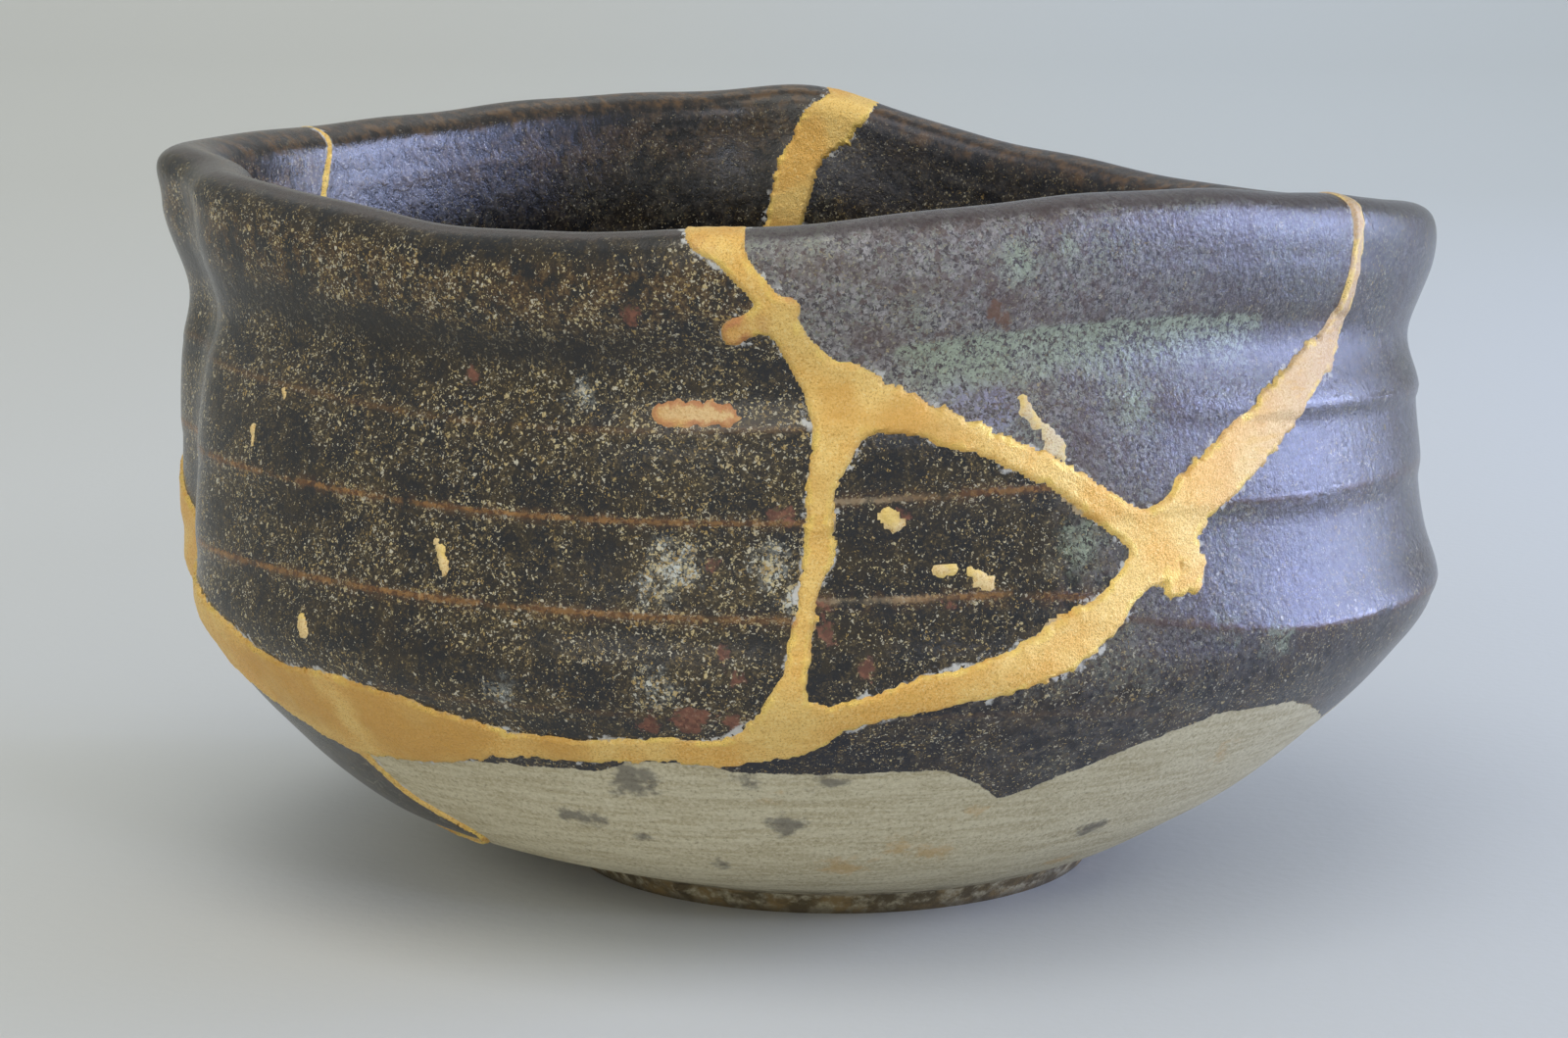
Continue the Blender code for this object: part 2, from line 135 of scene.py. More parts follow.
# Depth of the rings' steps in metres, and how much deeper they are at the right
RING_DEPTH = 0.00018
RIGHT_RING_DEPTH = 0.00022
# Height of the broad swells and the fine ripples that the hand left, and of the ledge under the neck
SWELL_HEIGHT = 0.000035
RIPPLE_HEIGHT = 0.000015
LEDGE_HEIGHT = 0.00028
# The rim's edge dips by up to four times this
RIM_DIP = 0.00007
# Where the hand left the outside lower or, below zero, fuller: angle, level, their spreads, depth in metres
HOLLOWS = [(343, 8.0, 15, 0.9, -0.0009), (343, 12.0, 20, 0.8, -0.0004), (186, 9.6, 17, 1.3, -0.0008),
           (208, 9.8, 14, 1.6, -0.0006), (186, 13.2, 18, 0.5, 0.0007), (239.0, 3.75, 1.9, 0.28, -0.0011),
           (234, 12.35, 20, 0.24, 0.0004), (238, 13.15, 24, 0.35, -0.00025)]
# Spots as angle, level and radius in millimetres
RUST_SPOTS = [(255.5, 12.85, 0.9), (237.7, 12.06, 0.6), (269.2, 10.3, 1.0), (263.3, 9.7, 0.6),
              (272.9, 9.24, 0.9), (273.2, 8.85, 0.8), (276.6, 8.31, 0.9), (265.2, 8.15, 0.7),
              (264.2, 8.6, 0.5), (261.3, 7.24, 1.5), (280.2, 10.23, 0.6), (257.6, 7.12, 1.0),
              (265.0, 7.3, 0.9), (284.0, 9.15, 0.4), (288.3, 12.62, 0.7), (289.3, 12.48, 0.6)]
BLOOM_SPOTS = [(259.9, 9.69, 2.2), (257.6, 9.37, 1.4), (268.4, 9.66, 1.7), (270.4, 9.3, 1.1),
               (258.5, 7.96, 1.6), (244.0, 7.6, 1.4), (250.0, 11.9, 1.2)]
GREEN_SPOTS = [(297.2, 9.75, 2.2), (290.5, 13.15, 2.2), (296.0, 13.3, 1.4), (303.0, 11.3, 2.4),
               (318.0, 8.15, 1.8), (312.0, 8.5, 1.2)]
# Dark stains and ochre patches on the bare clay
STAINS = [(247.4, 5.6, 1.4), (245.0, 5.61, 0.9), (254.4, 6.21, 1.9), (252.5, 6.0, 0.9), (265.9, 6.27, 0.8),
          (269.5, 5.66, 1.4), (274.2, 6.28, 0.9), (308.0, 5.27, 1.1), (262.5, 5.09, 0.5), (253.1, 5.41, 0.5),
          (20.0, 5.6, 2.0), (60.0, 5.2, 1.4)]
OCHRE_SPOTS = [(319.5, 6.05, 1.3), (290.1, 5.76, 0.6), (268.0, 5.99, 0.5), (276.6, 5.05, 2.0),
               (286.9, 5.23, 1.6), (310.4, 4.67, 1.8), (283.0, 5.33, 1.5), (30.0, 5.0, 2.5)]
# Purple-brown clouds in the grey glaze, and painted lilac highlights where the window's reflection falls
BROWN_SPOTS = [(288.4, 12.7, 2.0), (286.6, 12.95, 1.8), (277.6, 13.29, 1.5), (308.9, 11.15, 2.6),
               (298.0, 11.0, 2.0), (318.0, 13.2, 1.5)]
PAINTED_LILAC_HIGHLIGHTS = [(288.6, 11.35, 2.6), (285.0, 11.6, 1.6), (326.0, 10.4, 3.0), (322.0, 8.9, 3.2),
               (329.0, 11.6, 2.6)]
# Levels of the brown band and of the painted shade in the groove under the lip, and of the green band's top
# at the ledge
BAND_LEVEL = 13.15
SHADED_GROOVE_LEVEL = 12.42
GREEN_TOP = 12.28


def smooth_step(t):
    t = np.clip(t, 0.0, 1.0)
    return t * t * (3.0 - 2.0 * t)


def curve_weights(u):
    return np.array([0.5 * (2 * u**2 - u - u**3), 0.5 * (2 - 5 * u**2 + 3 * u**3),
                     0.5 * (u + 4 * u**2 - 3 * u**3), 0.5 * (u**3 - u**2)])


def profile_rows():
    rim = sum(RIM_HEIGHTS) / len(RIM_HEIGHTS)
    low = BELLY_HEIGHT - FOOT_HEIGHT
    rise = NECK_HEIGHT - BELLY_HEIGHT
    outer = np.array([(0.0, FOOT_HEIGHT), (FOOT_RADIUS - FOOT_RING - FOOT_STEP, FOOT_HEIGHT),
                      (FOOT_RADIUS - FOOT_RING, 0.0), (FOOT_RADIUS, 0.0),
                      (FOOT_RADIUS + FOOT_DRAFT, FOOT_HEIGHT),
                      (0.694 * HALF_WIDTH, FOOT_HEIGHT + 0.240 * low),
                      (0.871 * HALF_WIDTH, FOOT_HEIGHT + 0.563 * low),
                      (0.967 * HALF_WIDTH, FOOT_HEIGHT + 0.829 * low),
                      (HALF_WIDTH, BELLY_HEIGHT),
                      (HALF_WIDTH - 0.5 * WAIST_INSET, BELLY_HEIGHT + 0.21 * rise),
                      (HALF_WIDTH - 0.85 * WAIST_INSET, BELLY_HEIGHT + 0.48 * rise),
                      (HALF_WIDTH - WAIST_INSET, BELLY_HEIGHT + 0.76 * rise),
                      (HALF_WIDTH - NECK_INSET, NECK_HEIGHT),
                      (HALF_WIDTH - 0.04 * NECK_INSET, rim - LIP_DROP),
                      (HALF_WIDTH - 0.10 * LIP_INSET, rim - 0.25 * LIP_DROP),
                      (HALF_WIDTH - LIP_INSET, rim)])
    inner = outer.copy()
    for row in range(5, 13):
        along = outer[row + 1] - outer[row - 1]
        along /= np.linalg.norm(along)
        inner[row] = outer[row] + WALL * np.array([-along[1], along[0]])
    inner[13, 0] -= LIP
    inner[14, 0] -= 0.86 * LIP
    well = FOOT_HEIGHT + FLOOR
    for row in range(5):
        share = outer[row, 0] / outer[5, 0]
        inner[row] = (inner[5, 0] * share, well + (inner[5, 1] - well) * share**2)
    return outer, inner


OUTER_ROWS, INNER_ROWS = profile_rows()
TOP = len(OUTER_ROWS) - 1
RIM_MEAN = OUTER_ROWS[TOP, 1]
ARC = np.concatenate([[0.0], np.cumsum(np.linalg.norm(np.diff(OUTER_ROWS, axis=0), axis=1))])


def profile_point(level, inside):
    rows, others = (INNER_ROWS, OUTER_ROWS) if inside else (OUTER_ROWS, INNER_ROWS)
    i = int(np.clip(np.floor(level), 0, TOP - 1))
    u = level - i
    if i < 4:
        return rows[i] * (1 - u) + rows[i + 1] * u
    before = 2 * rows[i] - rows[i + 1] if i == 4 else rows[i - 1]
    after = others[i] if i == TOP - 1 else rows[i + 2]
    return curve_weights(u) @ np.array([before, rows[i], rows[i + 1], after])


def turn_from(angle, centre):
    return (angle - centre + np.pi) % (2 * np.pi) - np.pi


def rim_height(angle):
    n = len(RIM_HEIGHTS)
    t = (angle / (2 * np.pi) * n) % n
    i = np.floor(t).astype(int)
    heights = np.array(RIM_HEIGHTS)
    near = np.array([heights[(i + k) % n] for k in (-1, 0, 1, 2)])
    peak = PEAK_HEIGHT * np.exp(-(turn_from(angle, PEAK_ANGLE) / PEAK_SPREAD)**2)
    return (curve_weights(t - i) * near).sum(axis=0) + peak


def plan_factor(angle, height):
    up = np.clip((height - BELLY_HEIGHT) / (RIM_MEAN - LIP_DROP - BELLY_HEIGHT), 0.0, 1.0)
    n = BELLY_ROUNDNESS + (RIM_ROUNDNESS - BELLY_ROUNDNESS) * up
    c = np.cos(angle - PLAN_TURN)
    s = np.sin(angle - PLAN_TURN)
    c = np.where(c < 0, c * HALF_WIDTH / (LEFT_REACH + (LEFT_RIM_REACH - LEFT_REACH) * up), c)
    s = s * HALF_WIDTH / np.where(s < 0, FRONT_REACH, BACK_REACH)
    e = CORNER_SOFTNESS
    q = (c * c + e * e)**(n / 2) + (s * s + e * e)**(n / 2)
    return (q / ((1 + e * e)**(n / 2) + e**n))**(-1 / n)


def right_share(angle, start, soft):
    """One on the right side, rising from the start angle and fading out again round the back."""
    rise = smooth_step(turn_from(angle, np.radians(start)) / np.radians(soft))
    return rise * smooth_step((np.radians(80) - turn_from(angle, 0.0)) / np.radians(60))


def ring_phase(angle, level, lift):
    """Whole numbers lie on the throwing rings, which sit a little lower on the right side."""
    right_side = right_share(angle, 285, 45)
    count = range(-1, len(RINGS) + 1)
    left, right = [np.interp(level - lift, [rings[0] - 2, *rings, rings[-1] + 2], count)
                   for rings in (RINGS, RIGHT_RINGS)]
    return left + (right - left) * right_side


def bump_at(angle, level, degrees, where, turn, height):
    off = turn_from(angle, np.radians(degrees)) / np.radians(turn)
    return np.exp(-off**2 - ((level - where) / height)**2)


def arc_window(angle, start, end, soft):
    """One between two angles in degrees, falling to nothing over the soft ends."""
    middle = np.radians((start + end) / 2)
    beyond = np.abs(np.degrees(turn_from(angle, middle))) - (end - start) / 2
    return smooth_step(1 - beyond / soft)


def relief(angle, level, inside, lift):
    """Depth that the throwing rings and the uneven hand take off the plain form, in metres."""
    high = smooth_step((level - 6.9) / 0.5) * smooth_step((12.5 - level) / 0.8)
    share = ring_phase(angle, level, lift) % 1
    step = smooth_step(share / 0.78) * (1 - smooth_step((share - 0.82) / 0.18)) - 0.35
    right_side = right_share(angle, 290, 30)
    step = step * high * (RING_DEPTH + RIGHT_RING_DEPTH * right_side) * (0.5 if inside else 1.0)
    swell = np.sin(3 * angle + 1.3 * level) + np.sin(5 * angle - 0.9 * level + 2)
    swell = swell + np.sin(9 * angle + 0.7 * level)
    fine = np.sin(17 * angle + 2.1 * level + 1) + np.sin(23 * angle - 3.3 * level)
    foot = smooth_step((level - 4.2) / 1.5) * smooth_step((TOP - 1 - level) / 2)
    uneven = (SWELL_HEIGHT * swell + RIPPLE_HEIGHT * fine) * foot
    if not inside:
        for degrees, where, turn, height, depth in HOLLOWS:
            uneven = uneven + depth * bump_at(angle, level, degrees, where, turn, height)
        ledge = smooth_step((level - GREEN_TOP) / 0.10) * smooth_step((13.8 - level) / 1.2)
        uneven = uneven - LEDGE_HEIGHT * ledge * arc_window(angle, 281, 335, 6)
    return (step + uneven) * (level < TOP)


def wall(angle, level, inside, lift=0.0):
    """Points of the wall for arrays of angle and level, in the part's frame."""
    table = np.array([profile_point(v, inside) for v in level[:, 0]])
    r, z = table[:, :1], table[:, 1:]
    beyond_foot = r - FOOT_RADIUS - FOOT_DRAFT
    squared = smooth_step(beyond_foot / (0.91 * HALF_WIDTH - FOOT_RADIUS - FOOT_DRAFT))
    radius = r * (1 - squared + squared * plan_factor(angle, z))
    crease = CREASE_DEPTH * smooth_step((z - 0.42 * BELLY_HEIGHT) / (0.5 * BELLY_HEIGHT))
    radius = radius - crease * np.exp(-(turn_from(angle, CREASE_ANGLE) / CREASE_SPREAD)**2)
    radius = radius + relief(angle, level, inside, lift) * (1 if inside else -1)
    low = 1 - smooth_step(beyond_foot / (OUTER_ROWS[5, 0] - FOOT_RADIUS - FOOT_DRAFT))
    near_rim = smooth_step((z - BELLY_HEIGHT) / (0.96 * RIM_MEAN - BELLY_HEIGHT))
    uneven = RIM_DIP * (2 + np.sin(11 * angle + 1) + np.sin(19 * angle)) * smooth_step((level - 13.0) / 1.5)
    height = z + near_rim * (rim_height(angle) - RIM_MEAN) - uneven
    place = [radius * np.cos(angle) + FOOT_SHIFT * low, radius * np.sin(angle), height + 0 * angle]
    return np.stack(place, axis=2) + PLAN_CENTRE


def make_grid(columns, arcs):
    levels = np.interp(arcs, ARC, range(TOP + 1))
    angle, level = np.meshgrid(2 * np.pi * np.arange(columns) / columns, levels)
    return angle, level


# A typical radius and height between levels, which set how many samples a path needs
SAMPLE_RADIUS = 0.055
SAMPLE_RISE = 0.006


def path_samples(points, step):
    """Points close together on a smooth curve through the waypoints."""
    points = np.array(points, float)
    ends = np.vstack([2 * points[0] - points[1], points, 2 * points[-1] - points[-2]])
    samples = []
    for i in range(1, len(ends) - 2):
        around = np.radians(ends[i + 1, 0] - ends[i, 0]) * SAMPLE_RADIUS
        up = (ends[i + 1, 1] - ends[i, 1]) * SAMPLE_RISE
        count = max(2, int(np.hypot(around, up) / step))
        samples += [curve_weights(k / count) @ ends[i - 1:i + 3] for k in range(count)]
    return np.array(samples + [points[-1]])


def arc_of(level):
    """Length along the outer profile at a level, which may lie past the rim."""
    over = np.maximum(level - TOP, 0) * (ARC[-1] - ARC[-2])
    return np.interp(level, range(TOP + 1), ARC) + over


def distance_field(paths, angles, arcs, radii, reach):
    """Distance in metres from each grid point to the edge of the nearest ribbon, below zero inside it."""
    total = np.zeros((len(arcs), len(angles)))
    blend = 0.0005
    step = angles[1] - angles[0]
    for points in paths:
        near = np.full(total.shape, 1.0)
        samples = path_samples(points, 0.0003)
        for angle, level, half in samples:
            half = half / 1000
            angle = np.radians(angle)
            arc = arc_of(level)
            radius = np.interp(min(arc, arcs[-1]), arcs, radii)
            rows = np.nonzero(np.abs(arcs - arc) < half + reach)[0]
            if not len(rows):
                continue
            span = int((half + reach) / radius / step) + 1
            middle = int(round(angle / step))
            columns = np.arange(middle - span, middle + span + 1)
            across = (columns * step - angle) * radius
            gap = np.hypot(arcs[rows, None] - arc, across[None, :]) - half
            place = np.ix_(rows, columns % len(angles))
            near[place] = np.minimum(near[place], gap)
        total += np.exp(-near / blend)
    return -blend * np.log(total + 1e-30)


def add_object(name, data):
    item = bpy.data.objects.new(name, data)
    bpy.context.scene.collection.objects.link(item)
    return item


def mesh_piece(name, points, faces, values):
    """A mesh of the points that the faces use, with one attribute for each of the values."""
    used, inverse = np.unique(faces, return_inverse=True)
    faces = inverse.reshape(faces.shape)
    polygons = []
    for face in faces.tolist():
        polygons.append([v for k, v in enumerate(face) if v != face[k - 1]])
    mesh = bpy.data.meshes.new(name)
    mesh.from_pydata(points[used].tolist(), [], polygons)
    for key, value in values.items():
        mesh.attributes.new(key, "FLOAT", "POINT").data.foreach_set("value", value[used].astype(np.float32))
    mesh.shade_smooth()
    mesh.set_sharp_from_angle(angle=np.radians(55))
    return add_object(name, mesh)


def numbering(rows, columns):
    """Point numbers of the outer and the inner skin, which meet in the top row."""
    outer = np.arange(rows * columns).reshape(rows, columns)
    inner = outer + rows * columns
    inner[-1] = outer[-1]
    return outer, inner


def solid_faces(mask, outer, inner):
    """Faces of the closed solid over the cells in mask, from the outer skin to the inner one."""
    rows, columns = np.nonzero(mask)
    after = (columns + 1) % mask.shape[1]

    def quads(a, b, c, d):
        return np.stack([a, b, c, d], axis=1)

    up = rows + 1
    faces = [quads(outer[rows, columns], outer[rows, after], outer[up, after], outer[up, columns]),
             quads(inner[rows, columns], inner[up, columns], inner[up, after], inner[rows, after])]
    border = np.zeros((1, mask.shape[1]), bool)
    closed = np.vstack([border, mask, border])
    open_right = ~np.roll(mask, -1, axis=1)[rows, columns]
    open_left = ~np.roll(mask, 1, axis=1)[rows, columns]
    open_up = ~closed[rows + 2, columns] & (rows + 2 < outer.shape[0])
    open_down = ~closed[rows, columns]
    if outer[0, 0] == outer[0, 1]:
        open_down &= rows > 0
    sides = ((open_right, (rows + 1, after), (rows, after)),
             (open_left, (rows, columns), (rows + 1, columns)),
             (open_up, (rows + 1, columns), (rows + 1, after)),
             (open_down, (rows, after), (rows, columns)))
    for keep, a, b in sides:
        a = (a[0][keep], a[1][keep])
        b = (b[0][keep], b[1][keep])
        faces.append(quads(outer[a], outer[b], inner[b], inner[a]))
    return np.vstack(faces)


def skin_normals(points):
    around = np.roll(points, -1, axis=1) - np.roll(points, 1, axis=1)
    up = np.gradient(points, axis=0)
    normals = np.cross(around, up)
    return normals / np.linalg.norm(normals, axis=2, keepdims=True)


def speckle(points, scale, shift=0.0):
    places = points * scale + [shift, 0.0, 0.0]
    return np.array([noise.noise(Vector(place)) for place in places])


# A distance in millimetres at which no mark shows. As a ring's phase it lies halfway between two rings.
FAR = 9.5


def spot_field(spots, angle, level, radius):
    """Distance in millimetres from each grid point to the edge of the nearest spot, at most FAR."""
    best = np.full(angle.shape, FAR)
    arc = arc_of(level)
    for degrees, where, size in spots:
        across = turn_from(angle, np.radians(degrees)) * radius
        best = np.minimum(best, np.hypot(across, arc - arc_of(where)) * 1000 - size)
    return best


# The sherds' grid: its columns, and its rows' spacing in metres under the foot, above it and on the wall
COLUMNS = 540
FLOOR_SPACING = 0.0045
FOOT_SPACING = 0.0014
WALL_SPACING = 0.0007
# Extra rows over the foot ring and a little above it, and rows over the lip
FOOT_ROWS = 12
ABOVE_FOOT = 0.003
LIP_ROWS = 19
ARC_END = ARC[-1]
floor_arcs = np.union1d(np.arange(0, ARC[2], FLOOR_SPACING), np.arange(ARC[2], ARC[5], FOOT_SPACING))
foot_arcs = np.union1d(floor_arcs, np.linspace(ARC[3], ARC[4] + ABOVE_FOOT, FOOT_ROWS))
coarse_arcs = np.concatenate([np.union1d(foot_arcs, ARC[1:5]), np.arange(ARC[5], ARC[13], WALL_SPACING),
                              np.linspace(ARC[13], ARC_END, LIP_ROWS)])
coarse_arcs = coarse_arcs[np.concatenate([[True], np.diff(coarse_arcs) > 1e-5])]
# The plan's mean radius as a share of its widest
PLAN_MEAN = 0.94
# How far from the gold the sherds' distances to it are worked out
SEAM_REACH = 0.004
angle, level = make_grid(COLUMNS, coarse_arcs)
outer_id, inner_id = numbering(*level.shape)
outer_id[0] = outer_id[0, 0]
inner_id[0] = inner_id[0, 0]
mean_radius = PLAN_MEAN * np.interp(level[:, 0], range(TOP + 1), OUTER_ROWS[:, 0])
seams = [*CRACKS.values(), *OUTGROWTHS]
seam = distance_field(seams, angle[0], coarse_arcs, mean_radius, SEAM_REACH) * 1000


def label_cells():
    """The number of the sherd at each cell of the grid, spread from the seeds between the cracks."""
    rows, columns = level.shape
    barrier = np.zeros((rows - 1, columns), bool)
    for points in CRACKS.values():
        for degrees, where, _ in path_samples(points, 0.0002):
            i = int(np.searchsorted(coarse_arcs, arc_of(where))) - 1
            j = int(degrees / 360 * columns) % columns
            for di, dj in ((0, 0), (1, 0), (0, 1), (-1, 0), (0, -1)):
                if 0 <= i + di < rows - 1:
                    barrier[i + di, (j + dj) % columns] = True
    labels = np.zeros((rows - 1, columns), int)
    for number, (degrees, where) in enumerate(SEEDS.values(), 1):
        i = int(np.searchsorted(coarse_arcs, arc_of(where))) - 1
        labels[i, int(degrees / 360 * columns)] = number

    def spread(free):
        while True:
            grown = labels.copy()
            for moved in (np.roll(labels, 1, axis=1), np.roll(labels, -1, axis=1),
                          np.vstack([labels[1:], 0 * labels[:1]]), np.vstack([0 * labels[:1], labels[:-1]])):
                grown = np.where((grown == 0) & free, moved, grown)
            if (grown == labels).all():
                return
            labels[:] = grown

    spread(~barrier)
    spread(np.ones_like(barrier))
    return labels


labels = label_cells()
in_triangle = np.zeros(level.shape, bool)
in_triangle[:-1] = labels == 1 + list(SEEDS).index("small_triangle_sherd")
lift = TRIANGLE_LIFT * in_triangle
outside = wall(angle, level, False, lift)
inside = wall(angle, level, True)
clay_level = np.interp(np.degrees(angle) % 360, [p[0] for p in CLAY_EDGE], [p[1] for p in CLAY_EDGE])
radius_here = mean_radius[:, None] + 0 * angle
fields = {"seam": seam, "level": level, "phase": ring_phase(angle, level, lift)}
for key, spots in (("rust", RUST_SPOTS), ("bloom", BLOOM_SPOTS), ("green", GREEN_SPOTS), ("stain", STAINS),
                   ("ochre", OCHRE_SPOTS), ("brown", BROWN_SPOTS), ("painted_lilac_highlight", PAINTED_LILAC_HIGHLIGHTS)):
    fields[key] = spot_field(spots, angle, level, radius_here)
# A green bloom that hangs from the ledge under the neck
hanging = arc_window(angle, 283, 318, 7) * smooth_step((level - GREEN_TOP + 0.95) / 0.95)
fields["veil"] = hanging * (level < GREEN_TOP + 0.04)
# How strongly the rusty line shows on each ring, and where it turns cream
nearest = np.clip(np.round(fields["phase"]), -1, 4).astype(int)
leftward = smooth_step(turn_from(np.radians(268), angle) / np.radians(22)) * (np.cos(angle) < 0.4)
strength = np.select([nearest == 0, nearest == 1, nearest == 2, nearest == 3],
                     [0.12 + 0 * angle, 0.62 + 0.3 * leftward, 0.72 + 0.28 * leftward, 0.22 + 0 * angle], 0.0)
strength = np.where(in_triangle & (nearest > 0), np.where(nearest < 3, 1.0, 0.0), strength)
fields["mark"] = strength
fields["cream"] = in_triangle * smooth_step(turn_from(np.radians(287), angle) / np.radians(14))
# How grey and clouded the glaze is: nothing at the left, most at the right
rightward = right_share(angle, 266, 44)
upward = smooth_step((level - 7.0) / 2.0)
GREYNESS = {"front_left_sherd": 0 * angle,
            "small_triangle_sherd": 0.55 * smooth_step(turn_from(angle, np.radians(289)) / np.radians(12)),
            "front_right_rim_sherd": 0 * angle + 1.0,
            "base_and_right_sherd": rightward * (0.35 + 0.5 * upward),
            "back_left_sherd": 0 * angle + 0.25}
INSIDE_GREY = 0.12


def sherd_piece(number, name):
    """One sherd as a closed piece. Its inside has no spots and no bare clay."""
    faces = solid_faces(labels == number, outer_id, inner_id)
    bare_level = 0 * level + LOW_GLAZE if name == "back_left_sherd" else clay_level
    bare = (arc_of(bare_level) - arc_of(level)) * 1000
    values = {"grey": (GREYNESS[name], INSIDE_GREY + 0 * level), "clay": (bare, 0 * level - FAR),
              "within": (0 * level, 0 * level + 1)}
    for key, value in fields.items():
        absent = 0.0 if key in ("mark", "cream", "veil") else FAR
        values[key] = (value, value if key in ("seam", "level") else 0 * value + absent)
    values = {key: np.concatenate(pair).reshape(-1) for key, pair in values.items()}
    points = np.concatenate([outside, inside]).reshape(-1, 3)
    piece = mesh_piece(name.replace("_sherd", "_glazed"), points, faces, values)
    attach(piece, "root")
    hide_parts(name)
    return piece


sherds = {name: sherd_piece(number, name) for number, name in enumerate(SEEDS, 1)}

# The raised gold, on a finer grid, with ragged edges and a slightly uneven top
FINE_COLUMNS = 1280
FINE_SPACING = 0.0003
GOLD_REACH = 0.0016
fine_arcs = np.append(np.arange(ARC[4] + 0.004, ARC_END - 0.0001, FINE_SPACING), ARC_END)
fine_angle, fine_level = make_grid(FINE_COLUMNS, fine_arcs)
fine_radius = np.interp(fine_arcs, coarse_arcs, mean_radius)
fine_outside = wall(fine_angle, fine_level, False)
fine_inside = wall(fine_angle, fine_level, True)
outward = skin_normals(fine_outside)
inward = -skin_normals(fine_inside)
top_normal = outward[-2] + inward[-2]
top_normal /= np.linalg.norm(top_normal, axis=1, keepdims=True)
outward[-1] = top_normal
inward[-1] = top_normal
fine_around = fine_radius[:, None] + 0 * fine_angle
# How deep under the glaze's face the gold's edge ends, and the underside of a dab
SKIN_DEPTH = 0.00012
DAB_DEPTH = 0.0003
# How far outside its outline the gold starts to rise, and how wide the bank is, in millimetres
BANK_START = 0.13
BANK_WIDTH = 0.36
# How high the seams, the dabs and the flakes stand, in metres
SEAM_RISE = 0.00033
DAB_RISE = 0.00018
FLAKE_RISE = 0.00014


def gold_piece(name, paths, rise, through, ragged=1.0):
    """Gold over the paths, right through the wall as a seam or on its outside as a dab."""
    field = distance_field(paths, fine_angle[0], fine_arcs, fine_radius, GOLD_REACH) * 1000
    near = field < 0.9
    spots = fine_outside[near]
    # Neater edges near the rim, but not at the back, and on the thin crack low on the wall
    neat = ((fine_angle > np.radians(150)) & (fine_level > 12)) | (fine_level < 6)
    calm = np.where(neat, 0.25, 1.0)[near]
    wild = 0.45 + 1.3 * smooth_step(speckle(spots, 160, 11) + 0.55)
    teeth = 0.26 * speckle(spots, 900, 7) + 0.24 * speckle(spots, 2000, 3)
    torn = field[near] + ragged * calm * (0.34 * speckle(spots, 330) + wild * teeth)
    bank = smooth_step((BANK_START - torn) / BANK_WIDTH)
    crown = 0.00007 * speckle(spots, 300, 5) + 0.00006 * speckle(spots, 900, 9)
    crown = crown + 0.00003 * speckle(spots, 2400, 1)
    over_lip = 1 - 0.7 * smooth_step((fine_level[near] - 13.8) / 0.9)
    height = np.full(field.shape, -SKIN_DEPTH)
    height[near] = -SKIN_DEPTH + bank * (rise * over_lip + SKIN_DEPTH + crown)
    edge = np.full(field.shape, 1.0)
    edge[near] = torn
    kept = height > -SKIN_DEPTH * 0.98
    mask = kept[:-1] | kept[1:]
    mask = mask | np.roll(mask, -1, axis=1)
    outer, inner = numbering(*field.shape)
    above = fine_outside + outward * height[..., None]
    if through:
        below = fine_inside + inward * height[..., None]
    else:
        below = fine_outside - outward * DAB_DEPTH
        inner[-1] = inner[-2] + FINE_COLUMNS
    points = np.concatenate([above, below]).reshape(-1, 3)
    values = {"edge": edge, "copper": spot_field(COPPER_SPOTS, fine_angle, fine_level, fine_around),
              "warm": spot_field(WARM_SPOTS, fine_angle, fine_level, fine_around)}
    values = {key: np.concatenate([value, value]).reshape(-1) for key, value in values.items()}
    piece = mesh_piece(name, points, solid_faces(mask, outer, inner), values)
    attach(piece, "root")
    return piece


gold = gold_piece("gold_seams_raised", seams, SEAM_RISE, True)
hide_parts("gold_lacquer_seams")
dabs = gold_piece("gold_dabs", DABS, DAB_RISE, False)
flakes = gold_piece("pale_flakes", FLAKES, FLAKE_RISE, False, 1.5)


